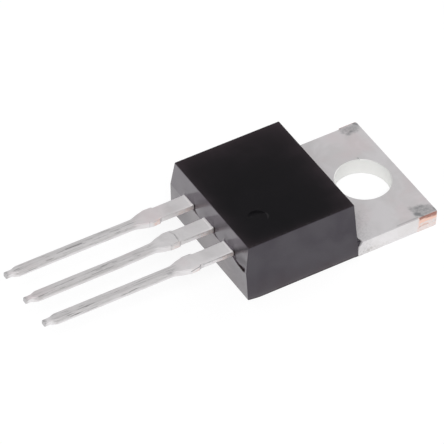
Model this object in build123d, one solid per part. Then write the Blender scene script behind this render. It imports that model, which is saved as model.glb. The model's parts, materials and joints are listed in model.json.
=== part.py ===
from build123d import *
import os
from math import radians, tan

# Power transistor in a flat-tab plastic package. Millimetres.
# Frame: the origin is the centre of the mounting hole on the seating plane, +Z rises out of the
# tab, +X points to the tab's free end, and the three leads run out along -X.

# Tab: the part of the dual-gauge copper strip that stays outside the moulding
tab_thickness = 1.27
tab_width = 10.12
tab_reach = 2.71              # hole centre to the free end
hole_diameter = 3.9
tab_corner_radius = 0.15
tie_stub_length = 1.45        # sheared tie bar, from the free end towards the moulding
tie_stub_height = 0.1         # how far each sheared bar stands out of the tab's side

# Header: the tab's continuation under the moulding, its back flush with the seating plane
header_margin = 2.3           # plastic between the header's front edge and the moulding's lead end
header_step = 0.6             # the header is this much narrower than the neck on each side
undercut = 0.25               # the header's back is this much narrower on each edge, to lock it in
notch_length = 0.22           # neck between the moulding and the tab's full width
neck_wall = 0.2               # plastic beside the neck at the seating plane
neck_run = 0.6                # how far the neck's width carries on inside the moulding

# Moulding
body_gap = 3.57               # hole centre to the moulding, at the tab's top
body_length = 8.57            # at the seating plane
body_width = 10.0             # at the seating plane
body_height = 4.65
side_draft = 3.14             # degrees, the same plane from the seating plane to the top
rear_draft = 6.8
lower_front_draft = 4.45      # leans outwards up to the parting plane
upper_front_draft = 2.6       # leans back inwards above it
parting_ledge = 0.09          # step between the two mould halves at the lead end
corner_radius = 0.1
top_edge_radius = 0.05
ejector_mark_radius = 0.7
ejector_mark_depth = 0.18
ejector_mark_inset = 2.05     # from the lead end of the seating plane
ejector_mark_offset = 2.61    # from the centre line, on the emitter's side

# Leads: the strip's thin gauge, blanked from above
lead_pitch = 2.54
lead_rise = 2.65              # seating plane to the leads' underside, which is the parting plane
lead_thickness = 0.45
lead_length = 14.04           # moulding to tip
lead_width = 0.67
shoulder_width = 1.18
shoulder_run = 2.55           # moulding to the sheared dam bar
dam_bar_width = 0.65
dam_stub_height = 0.09        # how far the sheared dam bar stands out of each side
shoulder_taper = 1.1
tip_taper = 0.36
nib_width = 0.38
nib_length = 0.53
blanking_roll = 0.06          # rounding that blanking leaves on the upper edges

# Inner ends of the leads
post_width = 2.6
post_length = 1.4
post_neck = 0.65              # moulding to the post
post_notch_radius = 0.3       # bite in the post's outer side that the plastic fills
joggle_angle = 50             # degrees, the collector lead's climb from the header
joggle_radius = 0.35
joggle_foot = 0.3             # level stretch ahead of the header before the climb
joggle_overlap = 0.8          # root of the collector lead within the header

# Die and its bonds
die_side = 3.6
die_thickness = 0.25
solder_thickness = 0.05
solder_margin = 0.1
base_wire_diameter = 0.25
emitter_wire_diameter = 0.38
wire_loop_height = 0.85       # meeting point of a loop's two slopes above its post's bond
wire_loop_radius = 1.2
wire_loop_place = 0.4         # that point's distance from the post's bond, as a share of the reach
base_pad = (-0.9, 1.1)        # bond on the die, from the die's centre
emitter_pads = ((-0.7, -0.2), (0.4, -1.1))
emitter_bond_spacing = 1.2    # between the two wires on the emitter's post
bond_length = 2.2             # of a wedge bond, in wire diameters
bond_width = 1.5
bond_thickness = 0.7
wire_clearance = 0.05         # under the wire at its bond, in wire radii

# Places worked out from the sizes above
lead_end_foot = -(body_gap + body_length)
lead_end = lead_end_foot - lead_rise * tan(radians(lower_front_draft))
tab_shoulder = -body_gap + notch_length
neck_half = body_width / 2 - neck_wall
header_front = lead_end_foot + header_margin
header_half = neck_half - header_step
header_centre = (header_front - body_gap) / 2
lead_top = lead_rise + lead_thickness
post_end = lead_end + post_neck + post_length
die_floor = tab_thickness + solder_thickness
die_top = die_floor + die_thickness


def prism(points, plane, low, high):
    """Solid between two levels of a plane, on a closed outline given in that plane."""
    face = make_face(Polyline(*points, close=True))
    return extrude(plane.offset(low) * face, amount=high - low)


def block(x0, x1, y0, y1, z0, z1):
    """Box between two corners."""
    return Pos((x0 + x1) / 2, (y0 + y1) / 2, (z0 + z1) / 2) * Box(x1 - x0, y1 - y0, z1 - z0)


def mirrored(points):
    """Closed outline from its half with y > 0, given from one end to the other."""
    return points + [(x, -y) for x, y in reversed(points)]


def blanked(outline):
    """Thin-gauge blank at the leads' height, with its upper edges rolled over."""
    blank = prism(outline, Plane.XY, lead_rise, lead_top)
    upper = blank.edges().group_by(Axis.Z)[-1]
    return fillet(upper, blanking_roll)


def lead_half_outline():
    """Outer part of a lead from the moulding to the tip, as its half with y > 0."""
    dam_start = lead_end - shoulder_run
    dam_end = dam_start - dam_bar_width
    nib_start = lead_end - lead_length + nib_length
    shoulder = shoulder_width / 2
    stub = shoulder + dam_stub_height
    return [
        (lead_end, shoulder),
        (dam_start, shoulder),
        (dam_start - dam_stub_height, stub),
        (dam_end, stub),
        (dam_end - shoulder_taper, lead_width / 2),
        (nib_start + tip_taper, lead_width / 2),
        (nib_start, nib_width / 2),
        (nib_start - nib_length, nib_width / 2),
    ]


def outer_lead(side):
    """Base or emitter lead with its bonding post; side is +1 or -1 along Y."""
    post_start = lead_end + post_neck
    post = [
        (post_end, post_width / 2),
        (post_start, post_width / 2),
        (post_start, shoulder_width / 2),
    ]
    lead = blanked(mirrored(post + lead_half_outline()))
    bite = Pos((post_start + post_end) / 2, side * post_width / 2, lead_rise + lead_thickness / 2)
    lead -= bite * Cylinder(post_notch_radius, 2 * lead_thickness)
    return Pos(0, side * lead_pitch, 0) * lead


def header():
    """Plate under the moulding with undercut side and front edges."""
    rear = -body_gap - neck_run
    back_half = header_half - undercut
    side_view = [(rear, 0), (rear, tab_thickness), (header_front, tab_thickness), (header_front + undercut, 0)]
    end_view = [(back_half, 0), (header_half, tab_thickness), (-header_half, tab_thickness), (-back_half, 0)]
    profile = prism(side_view, Plane.XZ, -header_half, header_half)
    return profile & prism(end_view, Plane.YZ, header_front, rear)


def collector_lead():
    """Centre lead, joggled down inside the moulding to the header's upper skin."""
    level = lead_rise + lead_thickness / 2
    root_level = tab_thickness - lead_thickness / 2
    foot = header_front - joggle_foot
    climb = (level - root_level) / tan(radians(joggle_angle))
    path = Plane.XZ * FilletPolyline(
        (header_front + joggle_overlap, root_level),
        (foot, root_level),
        (foot - climb, level),
        (lead_end, level),
        radius=joggle_radius)
    section = Plane(path @ 0, x_dir=(0, 1, 0), z_dir=path % 0) * Rectangle(shoulder_width, lead_thickness)
    return sweep(section, path=path) + blanked(mirrored(lead_half_outline()))


def tab_and_collector_lead():
    """One copper piece: tab, neck, header and centre lead."""
    tab = block(tab_shoulder, tab_reach, -tab_width / 2, tab_width / 2, 0, tab_thickness)
    stub_half = tab_width / 2 + tie_stub_height
    tab += block(tab_reach - tie_stub_length, tab_reach, -stub_half, stub_half, 0, tab_thickness)
    corners = tab.edges().filter_by(Axis.Z).group_by(Axis.X)[-1]
    tab = fillet(corners, tab_corner_radius)
    neck = block(-body_gap - neck_run, tab_shoulder, -neck_half, neck_half, 0, tab_thickness)
    hole = Pos(0, 0, tab_thickness / 2) * Cylinder(hole_diameter / 2, 2 * tab_thickness)
    return tab + neck + header() + collector_lead() - hole


def transistor_die():
    """Sawn silicon die on its solder."""
    base = Pos(header_centre, 0, die_floor + die_thickness / 2)
    return base * Box(die_side, die_side, die_thickness)


def die_attach_solder():
    """Solder layer between the header and the die."""
    side = die_side + 2 * solder_margin
    return Pos(header_centre, 0, tab_thickness + solder_thickness / 2) * Box(side, side, solder_thickness)


def bond_wire(post_point, pad, diameter):
    """Looped wire with a wedge bond on a post and one on the die; both points lie under the bonds."""
    start = Vector(post_point[0], post_point[1], lead_top)
    end = Vector(header_centre + pad[0], pad[1], die_top)
    run = Vector(end.X - start.X, end.Y - start.Y, 0)
    along = Plane(start, x_dir=run.normalized(), z_dir=run.cross(Vector(0, 0, 1)).normalized())
    lift = diameter / 2 * (1 + wire_clearance)
    drop = end.Z - start.Z
    reach = run.length
    path = along * FilletPolyline(
        (0, lift),
        (wire_loop_place * reach, lift + wire_loop_height),
        (reach, lift + drop),
        radius=wire_loop_radius)
    wire = sweep(Plane(path @ 0, z_dir=path % 0) * Circle(diameter / 2), path=path)
    for place, height in ((0, 0), (reach, drop)):
        middle = along * Pos(place, height + bond_thickness * diameter / 2, 0)
        wire += middle * Box(bond_length * diameter, bond_thickness * diameter, bond_width * diameter)
    return wire


def rear_at(z):
    """X of the moulding's rear plane, which meets the tab's top at the body gap."""
    return -body_gap - (z - tab_thickness) * tan(radians(rear_draft))


def side_at(z):
    """Half width of the moulding at a level."""
    return body_width / 2 - z * tan(radians(side_draft))


def mould_half(front_low, front_high, z0, z1):
    """Drafted block between two levels with its upright corners rounded."""
    side_view = [(front_low, z0), (rear_at(z0), z0), (rear_at(z1), z1), (front_high, z1)]
    end_view = [(side_at(z0), z0), (side_at(z1), z1), (-side_at(z1), z1), (-side_at(z0), z0)]
    profile = prism(side_view, Plane.XZ, -body_width, body_width)
    span = prism(end_view, Plane.YZ, lead_end - body_length, 0)
    solid = profile & span
    upright = solid.edges().filter_by(lambda edge: abs(edge.tangent_at(0.5).Z) > 0.9)
    return fillet(upright, corner_radius)


def moulded_case(inner_pieces):
    """Epoxy moulding: two mould halves and the filled notches beside the tab, less what it holds."""
    upper_front = lead_end + parting_ledge
    front_top = upper_front + (body_height - lead_rise) * tan(radians(upper_front_draft))
    upper = mould_half(upper_front, front_top, lead_rise, body_height)
    upper = fillet(upper.faces().sort_by(Axis.Z)[-1].edges(), top_edge_radius)
    mark = Pos(lead_end_foot + ejector_mark_inset, -ejector_mark_offset, body_height)
    upper -= mark * Cylinder(ejector_mark_radius, 2 * ejector_mark_depth)
    case = upper + mould_half(lead_end_foot, lead_end, 0, lead_rise)
    case += block(-body_gap, tab_shoulder, -tab_width / 2, tab_width / 2, 0, tab_thickness)
    for piece in inner_pieces:
        case -= piece
    return case


def main():
    frame = tab_and_collector_lead()
    base = outer_lead(1)
    emitter = outer_lead(-1)
    post_bond = post_end - post_length / 2
    half_spacing = emitter_bond_spacing / 2
    inner = {
        "tab_and_collector_lead": frame,
        "base_lead": base,
        "emitter_lead": emitter,
        "transistor_die": transistor_die(),
        "die_attach_solder": die_attach_solder(),
        "base_bond_wire": bond_wire((post_bond, lead_pitch), base_pad, base_wire_diameter),
        "emitter_bond_wire_inner": bond_wire(
            (post_bond, -lead_pitch + half_spacing), emitter_pads[0], emitter_wire_diameter),
        "emitter_bond_wire_outer": bond_wire(
            (post_bond, -lead_pitch - half_spacing), emitter_pads[1], emitter_wire_diameter),
    }
    pieces = {"moulded_case": moulded_case(inner.values())} | inner
    os.makedirs("parts", exist_ok=True)
    for name, piece in pieces.items():
        export_step(piece, f"parts/{name}.step")
        print(name, len(piece.solids()), round(piece.volume, 3), piece.bounding_box())


main()
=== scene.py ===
import bpy
import json
import math
import numpy as np
from mathutils import Matrix, Vector
from types import SimpleNamespace


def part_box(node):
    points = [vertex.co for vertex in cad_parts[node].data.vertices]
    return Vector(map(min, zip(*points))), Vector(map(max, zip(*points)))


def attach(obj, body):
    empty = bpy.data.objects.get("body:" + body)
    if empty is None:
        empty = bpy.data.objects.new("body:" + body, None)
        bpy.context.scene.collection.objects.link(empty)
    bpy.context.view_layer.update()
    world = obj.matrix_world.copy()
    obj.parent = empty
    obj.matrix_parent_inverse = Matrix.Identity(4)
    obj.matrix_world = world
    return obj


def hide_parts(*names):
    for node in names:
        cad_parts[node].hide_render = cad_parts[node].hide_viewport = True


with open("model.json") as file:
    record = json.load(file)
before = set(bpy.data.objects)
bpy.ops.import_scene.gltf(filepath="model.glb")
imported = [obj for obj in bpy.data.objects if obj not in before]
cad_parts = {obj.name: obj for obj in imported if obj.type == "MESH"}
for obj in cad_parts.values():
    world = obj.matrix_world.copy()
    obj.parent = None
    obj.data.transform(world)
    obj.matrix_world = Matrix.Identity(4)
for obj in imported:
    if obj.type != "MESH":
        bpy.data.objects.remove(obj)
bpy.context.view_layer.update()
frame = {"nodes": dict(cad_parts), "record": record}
print("frame:", ", ".join(sorted(frame["nodes"])))

# Shapes are in millimetres until makeMesh brings them to metres.
mm = 0.001
caseLow, caseHigh = (np.array(corner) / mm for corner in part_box("moulded_case"))
plateLow, plateHigh = (np.array(corner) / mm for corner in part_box("tab_and_collector_lead"))
leadLow, leadHigh = (np.array(corner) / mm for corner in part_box("base_lead"))
bore = next(mount for mount in frame["record"]["mounts"] if mount["name"] == "mounting_hole")["dims"]
boreRadius, tabTop = bore["r_mm"], bore["length_mm"]
leadPitch = (leadLow[1] + leadHigh[1]) / 2      # centre lead to outer lead
leadEnd = caseLow[0]                            # where the leads leave the moulding, at their underside
tabShoulder = caseHigh[0]                       # where the tab reaches its full width
parting = leadLow[2]                            # the mould halves meet at the leads' underside


# 0 before start, 1 after end, and a smooth cubic between: t * t * (3 - 2t).
def softStep(x, start, end):
    t = np.clip((x - start) / (end - start), 0, 1)
    return t * t * (3 - 2 * t)


# The other way round: 1 before start, 0 after end.
def fade(x, start, end):
    return 1 - softStep(x, start, end)


# 1 at zero, falling as exp(-(x / width) squared).
def bell(x, width):
    return np.exp(-(x / width) ** 2)


# Shares from 0 to 1, closer together at both ends: half of 1 - cos.
def eased(shares):
    return 0.5 - 0.5 * np.cos(np.pi * shares)


# Thin marks: each is a straight stroke from (startA, startB) to (endA, endB) with a half width and a
# strength, which falls as a bell of the distance from the stroke. The strongest mark counts.
def strokes(a, b, marks):
    total = np.zeros(np.broadcast(a, b).shape)
    for startA, startB, endA, endB, width, strength in marks:
        runA, runB = endA - startA, endB - startB
        share = ((a - startA) * runA + (b - startB) * runB) / (runA ** 2 + runB ** 2)
        share = np.clip(share, 0, 1)
        squares = (a - startA - share * runA) ** 2 + (b - startB - share * runB) ** 2
        total = np.maximum(total, strength * np.exp(-squares / width ** 2))
    return total


# Slow waviness: the mean of a few sines of the distance in the plane, each with a direction, a phase and
# a stretch of the wavelength drawn from the seed.
def waver(x, y, wavelength, seed):
    draw, waves = np.random.default_rng(seed), 5
    total = np.zeros(np.broadcast(x, y).shape)
    for _ in range(waves):
        turn, phase = draw.uniform(0, 2 * np.pi), draw.uniform(0, 2 * np.pi)
        stretch = draw.uniform(0.6, 1.7)
        total += np.sin((x * np.cos(turn) + y * np.sin(turn)) * 2 * np.pi / (wavelength * stretch) + phase)
    return total / waves


# Three measures that share rows and columns, as one sheet of points.
def pointsOf(x, y, z):
    return np.stack(np.broadcast_arrays(x, y, z), axis=-1)


# Loops round rectangles with rounded corners, one rectangle per row: each corner is a quarter circle
# about a centre set in by its radius, and the straight runs between them are divided more finely
# towards their ends. radii go from the (highA, lowB) corner the way the loop runs, and runSteps too if
# it is four numbers.
def roundedLoops(lowA, highA, lowB, highB, radii, cornerSteps, runSteps):
    lowA, highA, lowB, highB = np.broadcast_arrays(lowA, highA, lowB, highB)
    quarter = np.linspace(0, np.pi / 2, cornerSteps + 1)
    shares = [eased(np.arange(1, steps + 1) / (steps + 1)) for steps in np.broadcast_to(runSteps, 4)]
    sides = [(highA, -1, lowB, 1), (highA, -1, highB, -1), (lowA, 1, highB, -1), (lowA, 1, lowB, 1)]
    arcs = []
    for corner, (radius, (a, inA, b, inB)) in enumerate(zip(radii, sides)):
        turn = quarter + (corner - 1) * np.pi / 2
        arcs.append((a + inA * radius + radius * np.cos(turn), b + inB * radius + radius * np.sin(turn)))
    columns = []
    for corner, share in enumerate(shares):
        runs = [np.hstack([end, end[:, -1:] + (following[:, :1] - end[:, -1:]) * share])
                for end, following in zip(arcs[corner], arcs[(corner + 1) % 4])]
        columns.append(runs)
    return (np.hstack(run) for run in zip(*columns))


# A shell is a sheet of points (row, column, xyz) whose columns go round. Neighbours make a quad. Each
# row in caps closes on its mean point, and with no caps the last row joins the first. Faces are turned
# outwards by the sign of the volume, which is the sum of a . (b x c) over the triangles.
def shell(points, caps=(0, -1), **marks):
    rows, columns = points.shape[:2]
    index = np.arange(rows * columns).reshape(rows, columns)
    right = np.roll(index, -1, axis=1)
    above, aboveRight = (np.roll(sheet, -1, axis=0) for sheet in (index, right))
    quads = np.stack([index, right, aboveRight, above], axis=-1)[:rows - 1 if caps else rows].reshape(-1, 4)
    ends = list(caps)
    vertices = np.vstack([points.reshape(-1, 3), points[ends].mean(axis=1)])
    values = {}
    for name, value in marks.items():
        flat = np.broadcast_to(value, (rows, columns)).reshape(-1)
        values[name] = np.append(flat, flat[ends])
    fans = np.zeros((0, 3), int)
    for place, row in enumerate(ends):
        fan = np.stack([np.full(columns, rows * columns + place), index[row], right[row]], axis=-1)
        fans = np.vstack([fans, fan if row else fan[:, ::-1]])
    triangles = np.vstack([quads[:, [0, 1, 2]], quads[:, [0, 2, 3]], fans])
    a, b, c = (vertices[triangles[:, k]] for k in range(3))
    if np.einsum("ij,ij->i", a, np.cross(b, c)).sum() < 0:
        quads, fans = quads[:, ::-1], fans[:, ::-1]
    return {"vertices": vertices, "faces": [quads, fans], "marks": values}


# Shells become one mesh object, and each mark becomes a point attribute.
def makeMesh(name, shells, material, unit=mm):
    start, faces = 0, []
    for part in shells:
        faces += [face for sheet in part["faces"] for face in (sheet + start).tolist()]
        start += len(part["vertices"])
    mesh = bpy.data.meshes.new(name)
    mesh.from_pydata((np.vstack([part["vertices"] for part in shells]) * unit).tolist(), [], faces)
    for mark in sorted({mark for part in shells for mark in part["marks"]}):
        values = [part["marks"].get(mark, np.zeros(len(part["vertices"]))) for part in shells]
        layer = mesh.attributes.new(mark, "FLOAT", "POINT")
        layer.data.foreach_set("value", np.concatenate(values).astype(np.float32))
    mesh.polygons.foreach_set("use_smooth", np.ones(len(mesh.polygons), bool))
    mesh.materials.append(material)
    mesh.update()
    made = bpy.data.objects.new(name, mesh)
    bpy.context.scene.collection.objects.link(made)
    print(name, "made,", len(mesh.polygons), "faces")
    return made


# A mesh object that stands for its CAD nodes.
def makePiece(name, shells, material, slotName, *nodes):
    piece = makeMesh(name, shells, material)
    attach(piece, "root")
    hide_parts(*nodes)


# A colour for a socket: a plain one gets an alpha of 1.
def colourValue(value):
    return value if isinstance(value, bpy.types.NodeSocket) else (*value, 1)


# Short ways to fill a node tree. Whatever goes into a socket is a value or another node's output.
class Shading:
    def __init__(self, tree, vector=None):
        self.tree, self.vector = tree, vector

    def fill(self, node, sockets):
        for key, value in sockets.items():
            if isinstance(value, bpy.types.NodeSocket):
                self.tree.links.new(value, node.inputs[key])
            else:
                node.inputs[key].default_value = value

    # Nodes are laid out in rows of eight, in the order in which they are made.
    def add(self, kind, sockets, **settings):
        count = len(self.tree.nodes)
        node = self.tree.nodes.new(kind)
        node.location = (200 * (count % 8) - 1900, 300 * (count // 8))
        for key, value in settings.items():
            setattr(node, key, value)
        self.fill(node, sockets)
        return node

    def calculate(self, operation, first, second, third=0.0, clamp=False):
        sockets = {0: first, 1: second, 2: third}
        return self.add("ShaderNodeMath", sockets, operation=operation, use_clamp=clamp).outputs[0]

    def times(self, first, second):
        return self.calculate("MULTIPLY", first, second)

    # first * second + added
    def timesPlus(self, first, second, added):
        return self.calculate("MULTIPLY_ADD", first, second, added)

    def larger(self, first, second):
        return self.calculate("MAXIMUM", first, second)

    # A value moved from one range to another along a smooth step, held at the ends.
    def remap(self, value, fromLow, fromHigh, toLow=0.0, toHigh=1.0):
        sockets = {"Value": value, "From Min": fromLow, "From Max": fromHigh, "To Min": toLow,
                   "To Max": toHigh}
        return self.add("ShaderNodeMapRange", sockets, interpolation_type="SMOOTHSTEP").outputs[0]

    # first * (1 - factor) + second * factor, for colours
    def mix(self, factor, first, second):
        sockets = {0: factor, 6: colourValue(first), 7: colourValue(second)}
        return self.add("ShaderNodeMix", sockets, data_type="RGBA").outputs[2]

    def noise(self, vector, scale, detail, roughness, distortion=0.0):
        sockets = {"Vector": vector, "Scale": scale, "Detail": detail, "Roughness": roughness,
                   "Distortion": distortion}
        return self.add("ShaderNodeTexNoise", sockets).outputs[0]

    def bump(self, height, distance, **normal):
        return self.add("ShaderNodeBump", {"Height": height, "Distance": distance, **normal}).outputs[0]

    def attribute(self, name):
        return self.add("ShaderNodeAttribute", {}, attribute_name=name).outputs["Fac"]

    # A node group on the material's own coordinates.
    def use(self, group, **sockets):
        return self.add("ShaderNodeGroup", {"Vector": self.vector, **sockets}, node_tree=group).outputs


# A new node group with a Vector, and plain numbers in and out.
def startGroup(name, outputs, **inputs):
    tree = bpy.data.node_groups.new(name, "ShaderNodeTree")
    tree.interface.new_socket("Vector", in_out="INPUT", socket_type="NodeSocketVector")
    for label, value in inputs.items():
        socket = tree.interface.new_socket(label, in_out="INPUT", socket_type="NodeSocketFloat")
        socket.default_value = value
    for label in outputs:
        tree.interface.new_socket(label, in_out="OUTPUT", socket_type="NodeSocketFloat")
    shade = Shading(tree)
    return shade, shade.add("NodeGroupInput", {}).outputs, shade.add("NodeGroupOutput", {})


# Grain: two sizes of noise added, the finer at a third of the size and about half the height. Tone is
# the upper part of that height, brought to 0 to 1.
def grainGroup():
    shade, given, sink = startGroup("surfaceGrain", ["Height", "Tone"], Scale=9000.0)
    coarse = shade.noise(given["Vector"], given["Scale"], 2.0, 0.6)
    fine = shade.noise(given["Vector"], shade.times(given["Scale"], 3.1), 2.0, 0.5)
    height = shade.timesPlus(fine, 0.45, coarse)
    shade.fill(sink, {"Height": height, "Tone": shade.remap(height, 0.5, 0.95)})
    return shade.tree


# Blotches: one slow noise stretched over a threshold, for handling marks and uneven plating.
def blotchGroup():
    shade, given, sink = startGroup("handlingBlotches", ["Mask"], Scale=900.0, Low=0.4, High=0.65)
    slow = shade.noise(given["Vector"], given["Scale"], 3.0, 0.55, 0.4)
    shade.fill(sink, {"Mask": shade.remap(slow, given["Low"], given["High"])})
    return shade.tree


# Strip lines: noise on a vector scaled little along the strip and much across it.
def stripLineGroup():
    shade, given, sink = startGroup("stripLines", ["Mask"], Along=150.0, Across=9000.0, Low=0.5, High=0.7)
    across = given["Across"]
    scales = shade.add("ShaderNodeCombineXYZ", {"X": given["Along"], "Y": across, "Z": across}).outputs[0]
    stretched = shade.add("ShaderNodeVectorMath", {0: given["Vector"], 1: scales}, operation="MULTIPLY")
    lines = shade.noise(stretched.outputs[0], 1.0, 2.0, 0.6)
    shade.fill(sink, {"Mask": shade.remap(lines, given["Low"], given["High"])})
    return shade.tree


# Broken mask: a painted mask plus noise about zero, over a threshold, so that wear ends raggedly.
def brokenGroup():
    shade, given, sink = startGroup("brokenMask", ["Mask"], Painted=0.0, Scale=6000.0, Bite=0.8, Low=0.35,
                                    High=0.65)
    centred = shade.calculate("SUBTRACT", shade.noise(given["Vector"], given["Scale"], 3.0, 0.65), 0.5)
    eaten = shade.timesPlus(centred, given["Bite"], given["Painted"])
    inside = shade.remap(eaten, given["Low"], given["High"])
    shade.fill(sink, {"Mask": shade.times(inside, shade.remap(given["Painted"], 0.0, 0.15))})
    return shade.tree


surfaceGrain, handlingBlotches = grainGroup(), blotchGroup()
stripLines, brokenMask = stripLineGroup(), brokenGroup()
print("shader groups made")


# A new material with its Object coordinates and its Principled shader.
def startMaterial(name):
    material = bpy.data.materials.new(name)
    material.use_nodes = True
    shade = Shading(material.node_tree)
    shade.vector = shade.add("ShaderNodeTexCoord", {}).outputs["Object"]
    return material, shade, material.node_tree.nodes["Principled BSDF"]


# Moulding: epoxy filled with fine silica, eroded finish on the top and polished drafted walls. Its
# marks are painted on the points: polish for the walls' gloss, edge for rubbed edges and for a painted
# highlight on the ejector mark's lip, haze for a painted sheen on the top's pale borders, flash for resin
# bled over the walls and for painted light along the foot, chipped for painted shade beside the leads'
# roots and along the step by the emitter.
epoxyMarks = ("polish", "edge", "haze", "flash", "chipped")
epoxyLook = {
    "top": (0.0038, 0.0035, 0.0045),
    "pale": (0.0075, 0.0068, 0.0082),  # where the filler shows through
    "wall": (0.029, 0.015, 0.039),
    "warm": (0.052, 0.02, 0.032),  # low on the walls
    # on rubbed edges, and as a painted highlight on the ejector mark's lip
    "wornAndHighlit": (0.05, 0.048, 0.05),
    # painted sheen towards the top's edges
    "haze": (0.042, 0.031, 0.036),
    # painted shade beside the leads' roots and along the emitter's step
    "shadeTone": (0.02, 0.014, 0.014),
    # for resin bled over the front, and for the painted light along the foot
    "flash": (0.26, 0.225, 0.235),
    "wearAndHighlightAmount": 0.35,
    "topRoughness": 0.62,
    "wallRoughness": 0.34,
    "grainSize": 0.05 * mm,
    "grainDepth": 0.0035 * mm,
    "rippleSize": 0.4 * mm,  # of the polished walls
    "rippleDepth": 0.004 * mm,
    "coatIor": 2.0,
    "coatRoughness": 0.11,
    "specular": 0.1,
}


# The top's colour goes to the wall's by polish, and the coat is polish less blotches, wear with its
# painted highlight, and painted shade.
def epoxyMaterial():
    look = epoxyLook
    material, shade, shader = startMaterial("blackEpoxy")
    polish, edge, haze, flash, chipped = map(shade.attribute, epoxyMarks)
    grain = shade.use(surfaceGrain, Scale=1 / look["grainSize"])
    slow = shade.use(handlingBlotches, Scale=420.0, Low=0.35, High=0.7)["Mask"]
    rubbedAndHighlit = shade.use(brokenMask, Painted=edge, Scale=5200.0, Bite=0.9)["Mask"]
    # Painted shade beside the leads' roots and along the emitter's step.
    chips = shade.use(brokenMask, Painted=chipped, Scale=9000.0, Bite=1.3, Low=0.3, High=0.75)["Mask"]
    # wear carries the rubbed edges and the painted highlight on the ejector mark's lip.
    wearAndHighlight = shade.times(rubbedAndHighlit, look["wearAndHighlightAmount"])
    speckled = shade.mix(shade.times(grain["Tone"], slow), look["top"], look["pale"])
    # Painted sheen: the top's colour goes paler towards its edges.
    top = shade.mix(shade.times(haze, shade.remap(slow, 0.0, 1.0, 0.75, 1.15)), speckled, look["haze"])
    height = shade.add("ShaderNodeSeparateXYZ", {0: shade.vector}).outputs["Z"]
    low = shade.times(slow, shade.remap(height, 0.2 * mm, 2.2 * mm, 0.55, 0.0))
    wall = shade.mix(flash, shade.mix(low, look["wall"], look["warm"]), look["flash"])
    wornAndHighlit = shade.mix(wearAndHighlight, shade.mix(polish, top, wall), look["wornAndHighlit"])
    dulled = shade.timesPlus(slow, -0.12, polish)
    grainHeight = shade.times(grain["Height"], shade.remap(polish, 0.0, 1.0, 1.0, 0.12))
    ripple = shade.times(shade.noise(shade.vector, 1 / look["rippleSize"], 1.0, 0.4), polish)
    waves = shade.bump(ripple, look["rippleDepth"])
    rough = shade.remap(polish, 0.0, 1.0, look["topRoughness"], look["wallRoughness"])
    shade.fill(shader, {
        "Base Color": shade.mix(chips, wornAndHighlit, look["shadeTone"]),
        "Roughness": shade.timesPlus(slow, 0.07, rough),
        "Specular IOR Level": look["specular"],
        "Coat Weight": shade.calculate("SUBTRACT", dulled, shade.larger(wearAndHighlight, chips), clamp=True),
        "Coat IOR": look["coatIor"],
        "Coat Roughness": look["coatRoughness"],
        "Normal": shade.bump(grainHeight, look["grainDepth"], Normal=waves),
    })
    return material


# Lead frame: matt tin on copper. Its marks are painted on the points: cut for the blanked sides, fresh
# for the hole's burnished wall, torn for the lower part of a blanked side, bare for copper where bars
# were sheared, burnt for its darker bands, smudge for dirt and for painted shade, drawn for the pins and
# the painted shade and highlight on them, score for fine lines, root for painted light: whiter tin where
# the leads leave the moulding, against the shade of the wall beside them.
tinMarks = ("cut", "fresh", "torn", "bare", "burnt", "smudge", "drawn", "score", "root")
tabLook = {
    "tin": (0.665, 0.645, 0.65),
    "deep": (0.55, 0.535, 0.53),  # in the blotches
    "thin": (0.66, 0.555, 0.565),  # where the copper tints thin plating
    "thinAmount": 0.35,
    # painted light on the leads' tops next to the moulding
    "rootPaintedLight": (0.9, 0.88, 0.875),
    "cutTin": (0.86, 0.84, 0.845),
    "cutDeep": (0.77, 0.745, 0.735),
    "tornTin": (0.63, 0.6, 0.565),
    "boreTin": (0.86, 0.86, 0.84),
    "copper": (0.95, 0.64, 0.53),
    "burntCopper": (0.42, 0.2, 0.16),
    # also the colour of the painted shade that goes with the smudges
    "dull": (0.16, 0.165, 0.17),  # smudges beside the sheared bars
    "dullAmount": 0.85,
    "scored": (0.17, 0.165, 0.165),
    "metallic": 0.45,
    # lower also with the painted light at the root and the painted shade in the smudges
    "dullMetallic": 0.15,  # in dirt and at the root
    "roughness": 0.48,
    "cutRoughness": 0.36,
    "blotchScale": 520.0,
    "blotchAmount": 0.5,
    "drawnShade": 0.0,  # darker tone of the drawn pins
    "lineAlong": 120.0,
    "lineAcross": 9000.0,
    "lineAmount": 0.14,
    "dashAmount": 0.0,  # of the short dark lines on the drawn pins
    "grainSize": 0.045 * mm,
    "grainDepth": 0.0022 * mm,
}
leadLook = dict(tabLook, tin=(0.745, 0.725, 0.725), blotchScale=700.0, drawnShade=0.34, thinAmount=0.5,
                lineAlong=130.0, lineAcross=7000.0, lineAmount=0.42, dashAmount=0.65)
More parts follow.
